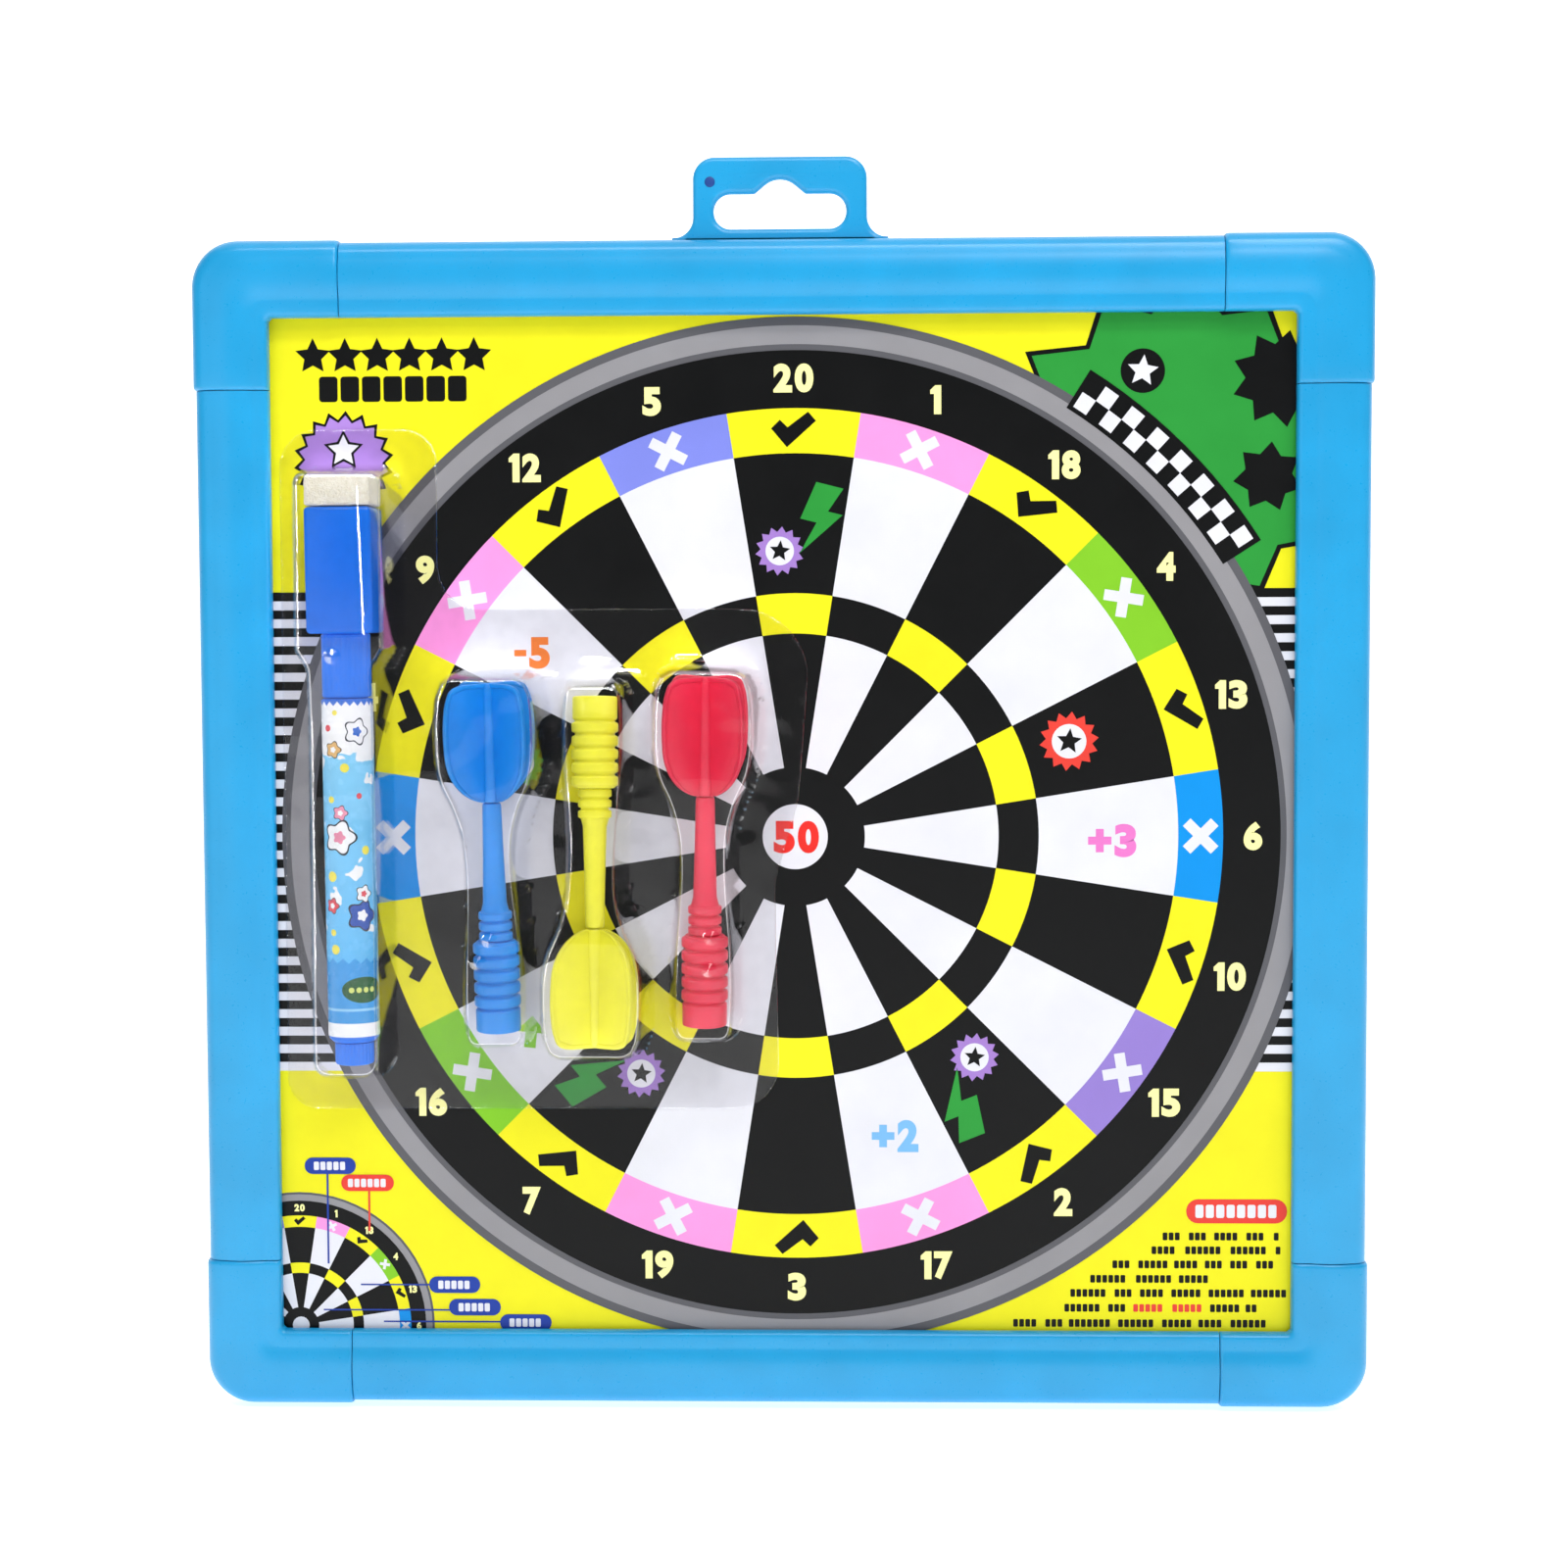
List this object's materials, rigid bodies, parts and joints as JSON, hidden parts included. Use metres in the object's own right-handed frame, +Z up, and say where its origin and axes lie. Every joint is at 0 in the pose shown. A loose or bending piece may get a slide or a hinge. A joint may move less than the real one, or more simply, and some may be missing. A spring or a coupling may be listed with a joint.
{
  "type": "magnetic dartboard",
  "caption": "Square magnetic target board in a plastic frame with a hanging tab, with magnetic darts and a dry-erase marker held on its face under a clear formed tray.",
  "frame": {"origin": "middle of the top rail's flat back, on the wall that the board hangs against", "axes": "+X to the right seen from the front, +Y into the wall so that the printed face looks along -Y, +Z up as the board hangs"},
  "size_m": [0.316, 0.0335, 0.3375],
  "materials": {
    "frame_plastic": "satin moulded sky-blue plastic",
    "printed_film": "printed glossy film, yellow ground",
    "steel": "thin tinned steel sheet",
    "fibreboard": "raw fibreboard",
    "white_laminate": "glossy dry-erase laminate",
    "blue_dart_plastic": "soft translucent moulded plastic",
    "yellow_dart_plastic": "soft translucent moulded plastic",
    "red_dart_plastic": "soft translucent moulded plastic",
    "ferrite": "sintered dark grey",
    "marker_plastic": "translucent blue moulded plastic",
    "holder_plastic": "satin blue moulded plastic",
    "label_film": "printed heat-transfer film",
    "nib_holder_plastic": "white moulded plastic",
    "ink_fibre": "bundled polyester fibre",
    "eraser_felt": "pressed cream felt",
    "clear_sheet": "clear formed sheet"
  },
  "bodies": {
    "board": {"top_rail": "frame_plastic", "bottom_rail": "frame_plastic", "left_rail": "frame_plastic", "right_rail": "frame_plastic", "top_left_corner": "frame_plastic", "top_right_corner": "frame_plastic", "bottom_left_corner": "frame_plastic", "bottom_right_corner": "frame_plastic", "hanger_tab": "frame_plastic", "print_film": "printed_film", "steel_sheet": "steel", "core_board": "fibreboard", "whiteboard_back": "white_laminate"},
    "tray": {"blister_tray": "clear_sheet"},
    "blue_dart": {"blue_dart_body": "blue_dart_plastic", "blue_dart_flight": "blue_dart_plastic", "blue_dart_magnet": "ferrite"},
    "yellow_dart": {"yellow_dart_body": "yellow_dart_plastic", "yellow_dart_flight": "yellow_dart_plastic", "yellow_dart_magnet": "ferrite"},
    "red_dart": {"red_dart_body": "red_dart_plastic", "red_dart_flight": "red_dart_plastic", "red_dart_magnet": "ferrite"},
    "marker": {"marker_barrel": "marker_plastic", "marker_label": "label_film", "marker_end_plug": "marker_plastic", "ink_reservoir": "ink_fibre", "nib_holder": "nib_holder_plastic", "nib": "ink_fibre"},
    "cap": {"marker_cap": "marker_plastic", "eraser_holder": "holder_plastic", "eraser_felt": "eraser_felt"}
  },
  "joints": [
    {"name": "tray_lift", "type": "slide", "parent": "board", "child": "tray", "axis": [0, -1, 0], "range_m": [0, 0.25]},
    {"name": "blue_dart_tip", "type": "hinge", "parent": "board", "child": "blue_dart", "pos_m": [-0.0765, -0.0088, -0.2018], "axis": [0.9999, 0, 0.0122], "range_deg": [0, 86.1]},
    {"name": "yellow_dart_tip", "type": "hinge", "parent": "board", "child": "yellow_dart", "pos_m": [-0.0498, -0.0088, -0.1127], "axis": [-1, 0, 0.0017], "range_deg": [0, 86.1]},
    {"name": "red_dart_tip", "type": "hinge", "parent": "board", "child": "red_dart", "pos_m": [-0.0209, -0.0088, -0.2003], "axis": [0.9999, 0, -0.0122], "range_deg": [0, 86.1]},
    {"name": "marker_lift", "type": "slide", "parent": "board", "child": "marker", "axis": [0, -1, 0], "range_m": [0, 0.075]},
    {"name": "cap_pull", "type": "slide", "parent": "marker", "child": "cap", "axis": [-0.0087, 0, 1], "range_m": [0, 0.022]}
  ],
  "couplings": [
    {"joint": "blue_dart_tip", "follows": "tray_lift", "rad_per_m": 6.011},
    {"joint": "yellow_dart_tip", "follows": "tray_lift", "rad_per_m": 6.011},
    {"joint": "red_dart_tip", "follows": "tray_lift", "rad_per_m": 6.011},
    {"joint": "marker_lift", "follows": "tray_lift", "ratio": 0.3},
    {"joint": "cap_pull", "follows": "tray_lift", "ratio": 0.088}
  ]
}
